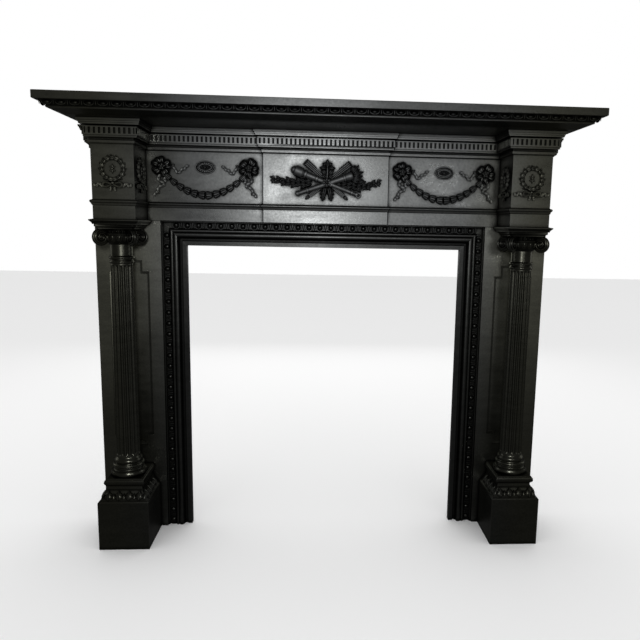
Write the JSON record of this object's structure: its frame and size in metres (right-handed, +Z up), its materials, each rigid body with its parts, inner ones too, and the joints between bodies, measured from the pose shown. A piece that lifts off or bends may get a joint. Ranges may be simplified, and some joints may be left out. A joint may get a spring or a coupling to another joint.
{
  "type": "fireplace surround",
  "caption": "Cast-iron fireplace surround with fluted Ionic columns on pedestals, a frieze of swags, wreaths and a trophy, and a moulded shelf over a rectangular fire opening.",
  "frame": {"origin": "middle of the footprint on the floor, under the centre of the shelf", "axes": "+X along the shelf to the right as seen from the room, +Y into the wall, +Z up"},
  "size_m": [1.64, 0.336, 1.41],
  "materials": {
    "burnished_iron": "burnished, black-leaded and dull satin, with brighter rubbed ground and dark recesses",
    "black_iron": "black-leaded satin iron with rubbed edges"
  },
  "bodies": {
    "root": {"mantel_shelf": "black_iron", "entablature": "burnished_iron", "header_slip": "black_iron", "left_jamb": "black_iron", "right_jamb": "black_iron", "left_pedestal": "black_iron", "right_pedestal": "black_iron", "left_column": "black_iron", "right_column": "black_iron", "left_capital": "black_iron", "right_capital": "black_iron", "left_slip": "black_iron", "right_slip": "black_iron"}
  },
  "joints": []
}
